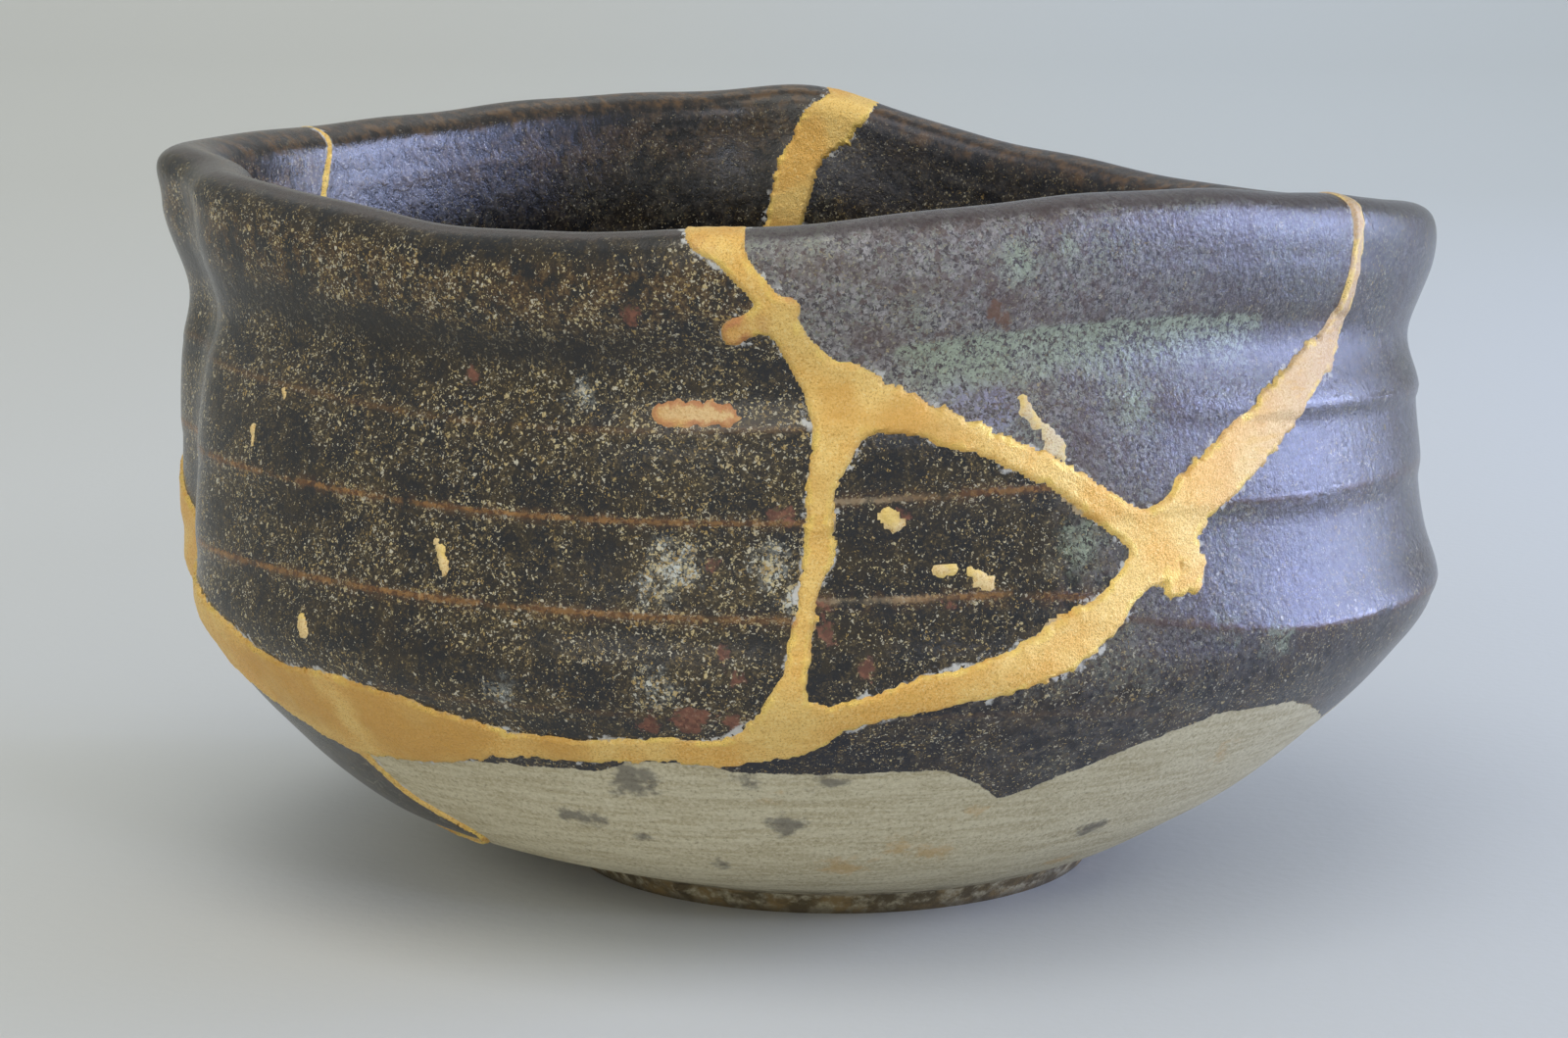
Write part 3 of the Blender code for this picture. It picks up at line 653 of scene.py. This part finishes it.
class Nodes:
    """Short names for the shader nodes of one material."""

    def __init__(self, name):
        self.material = bpy.data.materials.new(name)
        self.material.use_nodes = True
        self.tree = self.material.node_tree
        self.shader = self.tree.nodes["Principled BSDF"]
        self.place = self.node("TexCoord").outputs["Object"]

    def put(self, socket, value):
        if isinstance(value, bpy.types.NodeSocket):
            self.tree.links.new(value, socket)
        elif isinstance(value, tuple) and len(value) == 3 and socket.type == "RGBA":
            socket.default_value = (*value, 1.0)
        else:
            socket.default_value = value

    def give(self, key, value):
        self.put(self.shader.inputs[key], value)

    def node(self, kind, **inputs):
        """A new node with its named inputs, each a value or another node's output."""
        node = self.tree.nodes.new("ShaderNode" + kind)
        for key, value in inputs.items():
            self.put(node.inputs[key], value)
        return node

    def attribute(self, name):
        node = self.node("Attribute")
        node.attribute_name = name
        return node.outputs["Fac"]

    def math(self, operation, a, b=0.0):
        node = self.node("Math")
        node.operation = operation
        self.put(node.inputs[0], a)
        self.put(node.inputs[1], b)
        return node.outputs[0]

    def noise(self, scale, detail=3.0, rough=0.55, stretch=None):
        place = self.place
        if stretch:
            place = self.node("Mapping", Vector=place, Scale=stretch).outputs[0]
        node = self.node("TexNoise", Vector=place, Scale=scale, Detail=detail, Roughness=rough)
        return node.outputs["Fac"]

    def loosened(self, scale, amount):
        """The place, shaken by a noise, so that cells and dots come out uneven."""
        shake = self.node("VectorMath")
        shake.operation = "MULTIPLY_ADD"
        self.put(shake.inputs[0], self.node("TexNoise", Vector=self.place, Scale=scale).outputs["Color"])
        self.put(shake.inputs[1], (amount, amount, amount))
        self.put(shake.inputs[2], self.place)
        return shake.outputs[0]

    def cells(self, scale, place):
        """Distance from the nearest cell's middle, and two random numbers of that cell."""
        node = self.node("TexVoronoi", Vector=place, Scale=scale)
        parts = self.node("SeparateColor", Color=node.outputs["Color"])
        return node.outputs["Distance"], parts.outputs[0], parts.outputs[1]

    def dots(self, cells, cut, gain):
        """Dots of many sizes: a cell whose first number is under the cut has none."""
        distance, chance = cells[:2]
        radius = self.both(self.less(chance, cut), gain)
        return self.step(self.less(radius, distance), -0.03, 0.05)

    def rightness(self):
        """How far to the right of the bowl's middle, in metres."""
        return self.node("SeparateXYZ", Vector=self.place).outputs[0]

    def step(self, value, low, high):
        """Zero at low and one at high, with a soft rise or fall between."""
        node = self.node("MapRange", Value=value)
        node.interpolation_type = "SMOOTHSTEP"
        ends = (high, low, 1.0, 0.0) if low > high else (low, high, 0.0, 1.0)
        for key, end in zip(("From Min", "From Max", "To Min", "To Max"), ends):
            self.put(node.inputs[key], end)
        return node.outputs["Result"]

    def mix(self, share, a, b):
        """A colour between two others."""
        node = self.node("Mix", Factor=share)
        node.data_type = "RGBA"
        self.put(node.inputs[6], a)
        self.put(node.inputs[7], b)
        return node.outputs[2]

    def blend(self, share, a, b):
        """A number between two others."""
        node = self.node("Mix", Factor=share)
        self.put(node.inputs[2], a)
        self.put(node.inputs[3], b)
        return node.outputs[0]

    def both(self, a, b):
        return self.math("MULTIPLY", a, b)

    def plus(self, a, b):
        return self.math("ADD", a, b)

    def less(self, a, b):
        return self.math("SUBTRACT", a, b)

    def most(self, a, b):
        return self.math("MAXIMUM", a, b)

    def gap(self, value, middle):
        return self.math("ABSOLUTE", self.less(value, middle))

    def shaken(self, value, noise_here, amount):
        """The value moved up and down by a noise, whose mean is a half."""
        return self.plus(value, self.both(self.less(noise_here, 0.5), amount))

    def marks(self, key, noise_here, amount, low, high):
        """The share of an attribute's marks, with edges shaken by a noise."""
        return self.step(self.shaken(self.attribute(key), noise_here, amount), low, high)

    def bump(self, height, distance, strength=1.0):
        node = self.node("Bump", Strength=strength, Distance=distance, Height=height)
        self.give("Normal", node.outputs[0])


# Refraction of the glaze, and depth of the finest grain in metres
GLAZE_IOR = 1.54
GRAIN_DEPTH = 0.00011


class GlazeNodes(Nodes):
    """The fields, grains and cells that the layers of the glaze share, and where its marks lie."""

    def __init__(self, name):
        super().__init__(name)
        self.grey = self.attribute("grey")
        self.within = self.attribute("within")
        self.level = self.attribute("level")
        self.broad = self.noise(120, 3)
        self.patch = self.noise(260, 4, 0.6)
        self.middle = self.noise(700, 4, 0.6)
        self.grain = self.noise(2600, 4, 0.75)
        loose = self.loosened(2800, 0.0009)
        self.large = self.cells(1150, loose)
        self.small = self.cells(2100, loose)
        self.dust = self.cells(3900, loose)
        fine = self.plus(self.both(self.dust[2], 0.42), self.both(self.grain, 0.80))
        self.tone = self.plus(self.both(self.small[2], 0.16), fine)
        self.bloom = self.marks("bloom", self.middle, 5.0, 1.0, -1.2)
        rust = self.shaken(self.shaken(self.attribute("rust"), self.middle, 3.4), self.grain, 1.5)
        self.rust = self.step(rust, 0.25, -0.30)
        self.thrown = self.noise(300, 4, 0.6, (0.5, 0.5, 6))
        self.clay = self.marks("clay", self.noise(700, 4), 1.2, -0.05, 0.10)
        beside = self.marks("seam", self.middle, 2.6, 0.48, 0.12)
        broken = self.step(self.plus(self.noise(260, 2), self.both(self.small[2], 0.25)), 0.65, 0.76)
        self.residue = self.both(beside, broken)
        # How far from the nearest throwing ring, and how strongly its line shows
        phase = self.attribute("phase")
        self.away = self.shaken(self.gap(phase, self.math("ROUND", phase)), self.grain, 0.13)
        strong = self.step(self.plus(self.noise(150, 3), self.both(self.middle, 0.5)), 0.54, 0.76)
        self.mark = self.both(self.attribute("mark"), strong)
        self.line = self.both(self.step(self.away, 0.044, 0.012), self.mark)


def dark_glaze(n, thin):
    """The dark glaze of the left side: black, with brown where it lies thin."""
    colour = n.mix(n.step(n.patch, 0.40, 0.62), (0.0100, 0.0105, 0.0130), (0.026, 0.019, 0.012))
    colour = n.mix(n.both(n.step(n.middle, 0.50, 0.62), 0.5), colour, (0.044, 0.031, 0.013))
    colour = n.mix(n.both(n.within, 0.6), colour, (0.0110, 0.0105, 0.0105))
    brown = n.mix(n.step(n.grain, 0.40, 0.62), (0.030, 0.017, 0.009), (0.135, 0.070, 0.025))
    return n.mix(thin, colour, brown)


def clouded_glaze(n, colour):
    """The clouded glaze of the right side: grey grain over purple-brown, with painted lilac highlights and
    painted shade towards the right.
    """
    veil = n.mix(n.step(n.tone, 0.40, 1.04), (0.060, 0.049, 0.047), (0.400, 0.375, 0.362))
    veil = n.mix(n.both(n.step(n.small[1], 0.30, 0.05), 0.6), veil, (0.135, 0.086, 0.070))
    veil = n.mix(n.both(n.step(n.dust[1], 0.70, 0.95), 0.6), veil, (0.270, 0.285, 0.225))
    veil = n.mix(n.both(n.step(n.patch, 0.50, 0.62), 0.50), veil, (0.115, 0.078, 0.066))
    cloud = n.both(n.step(n.broad, 0.50, 0.62), n.step(n.tone, 0.62, 0.80))
    veil = n.mix(cloud, veil, (0.275, 0.290, 0.230))
    brown = n.both(n.step(n.attribute("brown"), 1.2, -1.6), n.step(n.middle, 0.38, 0.58))
    veil = n.mix(n.both(brown, 0.6), veil, (0.105, 0.066, 0.056))
    # Painted lilac highlight: the window's reflection painted into the colour of the grey glaze
    painted_lilac_highlight = n.both(n.step(n.attribute("painted_lilac_highlight"), 1.6, -2.0), n.step(n.tone, 0.60, 0.84))
    veil = n.mix(n.both(painted_lilac_highlight, 0.55), veil, (0.300, 0.300, 0.520))
    # Painted shade: the glaze is darker towards the right, to hold down the window light that falls there
    painted_right_shade = n.step(n.rightness(), 0.012, 0.048)
    veil = n.mix(n.both(painted_right_shade, 0.62), veil, (0.042, 0.038, 0.044))
    share = n.plus(n.plus(n.middle, n.both(n.grey, 0.40)), n.both(n.small[2], 0.10))
    return n.mix(n.both(n.grey, n.step(share, 0.48, 0.76)), colour, veil)


def specked(n, colour, specks, thin):
    """Golden and cream specks, in drifts, over a finer golden-brown grain."""
    drift = n.both(n.step(n.plus(n.broad, n.both(n.patch, 0.8)), 0.62, 1.02), specks)
    few = n.blend(n.most(n.both(n.grey, 0.75), n.both(n.within, 0.6)), 1.0, 0.25)
    few = n.both(few, n.blend(n.step(n.level, 13.6, 14.5), 1.0, 0.25))
    olive = n.both(n.step(n.plus(n.grain, n.both(drift, 0.05)), 0.545, 0.635), few)
    olive_tone = n.mix(n.step(n.middle, 0.4, 0.6), (0.050, 0.035, 0.016), (0.155, 0.112, 0.052))
    colour = n.mix(n.both(olive, 0.65), colour, olive_tone)
    haze = n.both(n.bloom, n.step(n.plus(n.grain, n.both(n.dust[2], 0.15)), 0.50, 0.66))
    colour = n.mix(n.both(haze, 0.65), colour, (0.300, 0.315, 0.290))
    cut = n.less(n.blend(drift, 0.60, 0.20), n.both(n.bloom, 0.45))
    cut = n.less(cut, n.both(thin, 0.12))
    cut = n.less(cut, n.both(n.both(n.step(n.away, 0.14, 0.04), n.mark), 0.25))
    golden = n.mix(n.step(n.noise(900, 2), 0.40, 0.60), (0.400, 0.265, 0.085), (0.620, 0.510, 0.270))
    pale = n.mix(n.bloom, (0.610, 0.560, 0.430), (0.600, 0.620, 0.580))
    for cells, gain, share in ((n.large, 0.30, 0.90), (n.small, 0.46, 0.90), (n.dust, 0.66, 0.75)):
        dot = n.both(n.dots(cells, cut, gain), n.both(few, share))
        colour = n.mix(dot, colour, n.mix(n.step(cells[2], 0.35, 0.90), golden, pale))
    return colour


def ringed(n, colour):
    """Painted shade in the groove under the lip, and rusty lines where the glaze breaks over the throwing
    rings.
    """
    # Painted shade: a near-black band along the groove under the lip, on the outside of the left side
    painted_groove_shade = n.both(n.step(n.gap(n.level, SHADED_GROOVE_LEVEL), 0.34, 0.06), n.step(n.rightness(), 0.004, -0.022))
    painted_groove_shade = n.both(painted_groove_shade, n.less(1.0, n.within))
    colour = n.mix(n.both(painted_groove_shade, 0.75), colour, (0.009, 0.008, 0.009))
    rusty = n.step(n.plus(n.small[2], n.both(n.grain, 0.8)), 0.62, 1.02)
    rusty = n.mix(rusty, (0.120, 0.045, 0.013), (0.380, 0.190, 0.055))
    rusty = n.mix(n.both(n.attribute("cream"), 0.75), rusty, (0.620, 0.520, 0.340))
    rusty = n.mix(n.grey, rusty, (0.075, 0.046, 0.034))
    colour = n.mix(n.both(n.line, 0.9), colour, rusty)
    halo = n.both(n.step(n.away, 0.13, 0.02), n.both(n.mark, n.step(n.middle, 0.36, 0.60)))
    return n.mix(n.both(halo, 0.55), colour, n.mix(n.grey, (0.105, 0.046, 0.015), (0.060, 0.042, 0.036)))


def browned_rim(n, colour):
    """The rim's edge, brown where the glaze runs thin."""
    edge = n.plus(n.plus(n.level, n.both(n.grey, 0.30)), n.both(n.middle, 0.7))
    edge = n.both(n.step(edge, 14.62, 15.0), n.blend(n.within, 0.80, 0.0))
    colour = n.mix(edge, colour, n.mix(n.grain, (0.022, 0.015, 0.014), (0.060, 0.036, 0.034)))
    lip = n.both(n.step(n.plus(n.level, n.both(n.middle, 1.6)), 14.3, 15.2), n.within)
    brown = n.mix(n.step(n.middle, 0.40, 0.66), (0.024, 0.016, 0.012), (0.120, 0.062, 0.022))
    return n.mix(n.both(lip, 0.85), colour, brown)


def spotted(n, colour):
    """Rust spots, and green blooms that stop at the ledge under the neck."""
    red = n.mix(n.small[2], (0.110, 0.036, 0.022), (0.270, 0.105, 0.062))
    red = n.mix(n.both(n.grey, 0.8), red, (0.150, 0.080, 0.038))
    colour = n.mix(n.both(n.rust, 0.85), colour, red)
    under = n.step(n.shaken(n.level, n.patch, 0.7), GREEN_TOP + 0.06, GREEN_TOP - 0.06)
    under = n.most(under, n.step(n.level, 12.70, 12.90))
    green = n.marks("green", n.middle, 6.0, 0.9, -2.2)
    veil = n.attribute("veil")
    hanging = n.both(n.step(n.shaken(veil, n.middle, 1.5), 0.15, 0.85), n.step(veil, 0.0, 0.08))
    green = n.most(n.both(green, under), hanging)
    green = n.both(green, n.step(n.plus(n.tone, n.both(n.patch, 0.4)), 0.70, 1.00))
    return n.mix(n.both(green, 0.75), colour, n.mix(n.dust[2], (0.215, 0.260, 0.170), (0.400, 0.460, 0.330)))


def bare_clay(n):
    """The clay below the glaze's edge, with its stains, and painted contact shadow at the foot."""
    clay = n.mix(n.step(n.thrown, 0.34, 0.66), (0.505, 0.435, 0.268), (0.650, 0.585, 0.400))
    clay = n.mix(n.both(n.step(n.grain, 0.50, 0.62), 0.55), clay, (0.770, 0.705, 0.525))
    clay = n.mix(n.both(n.step(n.grain, 0.46, 0.34), 0.65), clay, (0.280, 0.232, 0.138))
    grit = n.mix(n.small[2], (0.16, 0.12, 0.07), (0.74, 0.66, 0.46))
    clay = n.mix(n.both(n.dots(n.small, 0.80, 0.9), 0.55), clay, grit)
    stain = n.marks("stain", n.middle, 7.0, 0.9, -1.0)
    clay = n.mix(n.both(stain, 0.70), clay, (0.095, 0.088, 0.078))
    ochre = n.marks("ochre", n.middle, 9.0, 0.8, -1.6)
    clay = n.mix(n.both(ochre, 0.50), clay, (0.560, 0.340, 0.110))
    low = n.step(n.plus(n.level, n.both(n.patch, 0.8)), 4.75, 4.30)
    low_tone = n.mix(n.step(n.patch, 0.42, 0.62), (0.155, 0.118, 0.060), (0.340, 0.235, 0.098))
    clay = n.mix(n.both(low, n.step(n.middle, 0.30, 0.56)), clay, low_tone)
    # Painted contact shadow: the clay darkens to brown-black towards the ground at the foot
    foot = n.step(n.plus(n.level, n.both(n.middle, 0.7)), 3.75, 3.40)
    return n.mix(n.both(foot, 0.70), clay, (0.105, 0.082, 0.048))


def glaze_material(name, specks, tint, band):
    n = GlazeNodes(name)
    thin = n.both(n.step(n.gap(n.level, BAND_LEVEL), 0.75, 0.15), band)
    thin = n.both(thin, n.step(n.plus(n.middle, n.both(n.patch, 0.6)), 0.70, 0.88))
    colour = clouded_glaze(n, dark_glaze(n, thin))
    colour = ringed(n, specked(n, colour, specks, thin))
    colour = spotted(n, browned_rim(n, colour))
    colour = n.mix(n.clay, colour, bare_clay(n))
    # A thin whitish residue of lacquer filler beside the gold
    filler = n.mix(n.grain, (0.480, 0.470, 0.440), (0.760, 0.760, 0.740))
    n.give("Base Color", n.mix(n.both(n.residue, 0.9), colour, filler))
    rough = n.plus(n.both(n.grain, 0.12), n.blend(n.grey, 0.15, 0.11))
    rough = n.blend(n.most(n.both(n.bloom, 0.6), n.rust), rough, 0.55)
    n.give("Roughness", n.blend(n.most(n.clay, n.residue), rough, 0.88))
    n.give("IOR", GLAZE_IOR)
    n.give("Specular Tint", tint)
    peel = n.plus(n.both(n.middle, n.blend(n.grey, 0.9, 1.25)), n.both(n.grain, n.blend(n.grey, 0.35, 0.75)))
    peel = n.plus(n.plus(peel, n.both(n.line, 0.35)), 1.2)
    rough_clay = n.plus(n.both(n.grain, 1.5), n.both(n.thrown, 1.3))
    n.bump(n.blend(n.clay, peel, rough_clay), GRAIN_DEPTH, 0.85)
    return n.material


def gold_material(name, warm, pale, border, spread, metallic, roughness):
    n = Nodes(name)
    powder = n.noise(5200, 3, 0.8)
    grain = n.noise(1500, 4, 0.7)
    broad = n.noise(150, 3)
    edge = n.attribute("edge")
    colour = n.mix(n.step(broad, 0.38, 0.62), warm, pale)
    # Painted reflection: the gold turns a paler pinkish cream towards the right, where the windows reflect in
    # it
    colour = n.mix(n.both(n.step(n.rightness(), 0.030, 0.052), 0.85), colour, (0.60, 0.44, 0.31))
    colour = n.mix(n.both(n.step(powder, 0.52, 0.66), 0.55), colour, (1.0, 0.86, 0.46))
    colour = n.mix(n.both(n.step(powder, 0.48, 0.36), 0.75), colour, (0.55, 0.29, 0.06))
    streaks = n.step(n.noise(700, 3, 0.6, (0.4, 0.4, 2.0)), 0.54, 0.68)
    colour = n.mix(n.both(streaks, 0.35), colour, (0.78, 0.46, 0.11))
    bright = n.step(n.plus(edge, n.both(grain, 0.9)), -0.30, 0.15)
    bright = n.both(bright, n.step(n.noise(420, 2), 0.44, 0.60))
    colour = n.mix(n.both(bright, 0.6), colour, (1.0, 0.72, 0.18))
    rim = n.step(n.shaken(edge, grain, 1.0), -0.02 - spread, 0.14 - 0.4 * spread)
    colour = n.mix(n.both(rim, n.step(n.noise(330, 2), 0.42, 0.56)), colour, border)
    copper = n.marks("copper", grain, 1.6, 0.4, -0.8)
    near_edge = n.step(n.shaken(edge, grain, 1.6), -0.80, -0.20)
    colour = n.mix(n.both(copper, n.blend(near_edge, 0.25, 0.85)), colour, (0.60, 0.24, 0.11))
    warmer = n.marks("warm", broad, 6.0, 1.5, -2.0)
    colour = n.mix(n.both(warmer, 0.50), colour, (0.72, 0.39, 0.09))
    n.give("Base Color", colour)
    n.give("Metallic", metallic)
    rough = n.plus(n.both(powder, 0.22), roughness)
    n.give("Roughness", n.less(rough, n.both(bright, 0.16)))
    n.bump(n.plus(n.both(powder, 0.9), n.both(grain, 1.4)), GRAIN_DEPTH, 1.0)
    return n.material


NEUTRAL = (1.0, 0.98, 0.95)
LILAC = (0.84, 0.86, 1.0)
# Share of specks, tint of the sheen, and share of the rusty band under the lip
GLAZES = {"front_left_sherd": (1.0, NEUTRAL, 0.9), "small_triangle_sherd": (0.75, NEUTRAL, 0.0),
          "front_right_rim_sherd": (0.7, LILAC, 0.0), "base_and_right_sherd": (0.8, LILAC, 0.0),
          "back_left_sherd": (0.5, NEUTRAL, 0.5)}
for name, piece in sherds.items():
    piece.data.materials.append(glaze_material(name + "_glaze", *GLAZES[name]))
# Warm, pale and border colours, width of the border in millimetres, metallic and roughness
GOLDS = [(gold, "gold_powder", (0.93, 0.53, 0.13), (1.0, 0.68, 0.22), (0.62, 0.48, 0.30), 0.0, 0.62, 0.34),
         (dabs, "copper_gold", (0.80, 0.55, 0.22), (0.95, 0.72, 0.36), (0.50, 0.30, 0.12), 0.06, 0.35, 0.42),
         (flakes, "pale_filler", (0.80, 0.60, 0.34), (0.90, 0.82, 0.62), (0.70, 0.62, 0.50), 0.05, 0.0, 0.60)]
for piece, *look in GOLDS:
    piece.data.materials.append(gold_material(*look))


def floor_piece():
    """Floor and backdrop in one sweep, with painted blue window light on the floor's right."""
    depths = [-1.6, 0.9, 1.3, 1.55, 1.7, 1.78, 1.8]
    heights = [0.0, 0.0, 0.03, 0.12, 0.27, 0.50, 1.6]
    half_width = 2.4
    points = [(x, y, z) for y, z in zip(depths, heights) for x in (-half_width, half_width)]
    faces = [(2 * k, 2 * k + 1, 2 * k + 3, 2 * k + 2) for k in range(len(depths) - 1)]
    mesh = bpy.data.meshes.new("floor")
    mesh.from_pydata(points, [], faces)
    mesh.shade_smooth()
    n = Nodes("pale_floor")
    # Painted light: the floor turns bluish towards the right, where the blue window light falls
    across = n.step(n.rightness(), -0.25, 0.25)
    n.give("Base Color", n.mix(across, (0.62, 0.62, 0.59), (0.62, 0.66, 0.71)))
    n.give("Roughness", 0.85)
    n.bump(n.noise(700, 3), 0.0003, 0.15)
    mesh.materials.append(n.material)
    piece = add_object("floor", mesh)


floor_piece()


def area_light(name, place, target, size, power, colour):
    light = bpy.data.lights.new(name, "AREA")
    light.shape = "RECTANGLE"
    light.size = size[0]
    light.size_y = size[1]
    light.energy = power
    light.color = colour
    lamp = add_object(name, light)
    lamp.location = place
    lamp.rotation_euler = (Vector(target) - Vector(place)).to_track_quat("-Z", "Y").to_euler()


BOWL_MIDDLE = (0, 0, 0.04)
area_light("front_top_soft", (-0.15, -0.35, 1.0), (0, -0.05, 0.0), (0.9, 0.7), 3.2, (1.0, 0.99, 0.95))
area_light("room_window", (-0.45, -1.2, 0.62), BOWL_MIDDLE, (0.9, 0.5), 2.8, (1.0, 0.98, 0.94))
area_light("side_window", (0.62, -0.98, 0.60), (0, 0, 0.05), (0.24, 0.18), 1.6, (0.74, 0.81, 1.0))
# Three narrow panes that the right side mirrors: angle in degrees, power and colour
PANES = [(-5.0, 0.7, (0.42, 0.52, 1.0)), (5.0, 1.6, (0.44, 0.54, 1.0)), (15.5, 3.7, (0.56, 0.65, 1.0))]
PANE_SIZE = (0.055, 0.34)
PANE_DISTANCE = 0.9
PANE_HEIGHT = 0.19
for number, (degrees, power, colour) in enumerate(PANES):
    turn = np.radians(degrees)
    place = (PANE_DISTANCE * np.cos(turn), PANE_DISTANCE * np.sin(turn), PANE_HEIGHT)
    area_light("right_window_%d" % number, place, BOWL_MIDDLE, PANE_SIZE, power, colour)
area_light("backdrop_wash", (0.0, 0.9, 1.1), (0, 1.5, 0.1), (1.8, 0.6), 4.0, (0.97, 1.0, 0.99))

world = bpy.data.worlds.new("room")
bpy.context.scene.world = world
world.use_nodes = True
background = world.node_tree.nodes["Background"]
background.inputs["Color"].default_value = (0.97, 1.0, 0.97, 1.0)
background.inputs["Strength"].default_value = 0.50
bpy.context.scene.view_settings.view_transform = "Standard"

# Camera as fitted to the photo's outline: its turn, its place, and its focal length in the photo's pixels
PITCH, YAW, ROLL = np.radians([9.91, -0.23, 0.27])
CAMERA_PLACE = (0.00006, -0.32778, 0.09004)
FOCAL_PIXELS = 3384.0
PHOTO_WIDTH = 1600.0
SENSOR_WIDTH = 36.0
right = np.array([np.cos(YAW), -np.sin(YAW), 0.0])
forward = np.array([np.sin(YAW) * np.cos(PITCH), np.cos(YAW) * np.cos(PITCH), -np.sin(PITCH)])
up = np.array([np.sin(YAW) * np.sin(PITCH), np.cos(YAW) * np.sin(PITCH), np.cos(PITCH)])
turned_right = np.cos(ROLL) * right + np.sin(ROLL) * up
turned_up = np.cos(ROLL) * up - np.sin(ROLL) * right
camera_data = bpy.data.cameras.new("camera")
camera_data.sensor_width = SENSOR_WIDTH
camera_data.lens = FOCAL_PIXELS / PHOTO_WIDTH * SENSOR_WIDTH
camera_data.clip_start = 0.01
camera = add_object("camera", camera_data)
axes = Matrix([turned_right, turned_up, -forward]).transposed().to_4x4()
camera.matrix_world = Matrix.Translation(CAMERA_PLACE) @ axes
bpy.context.scene.camera = camera
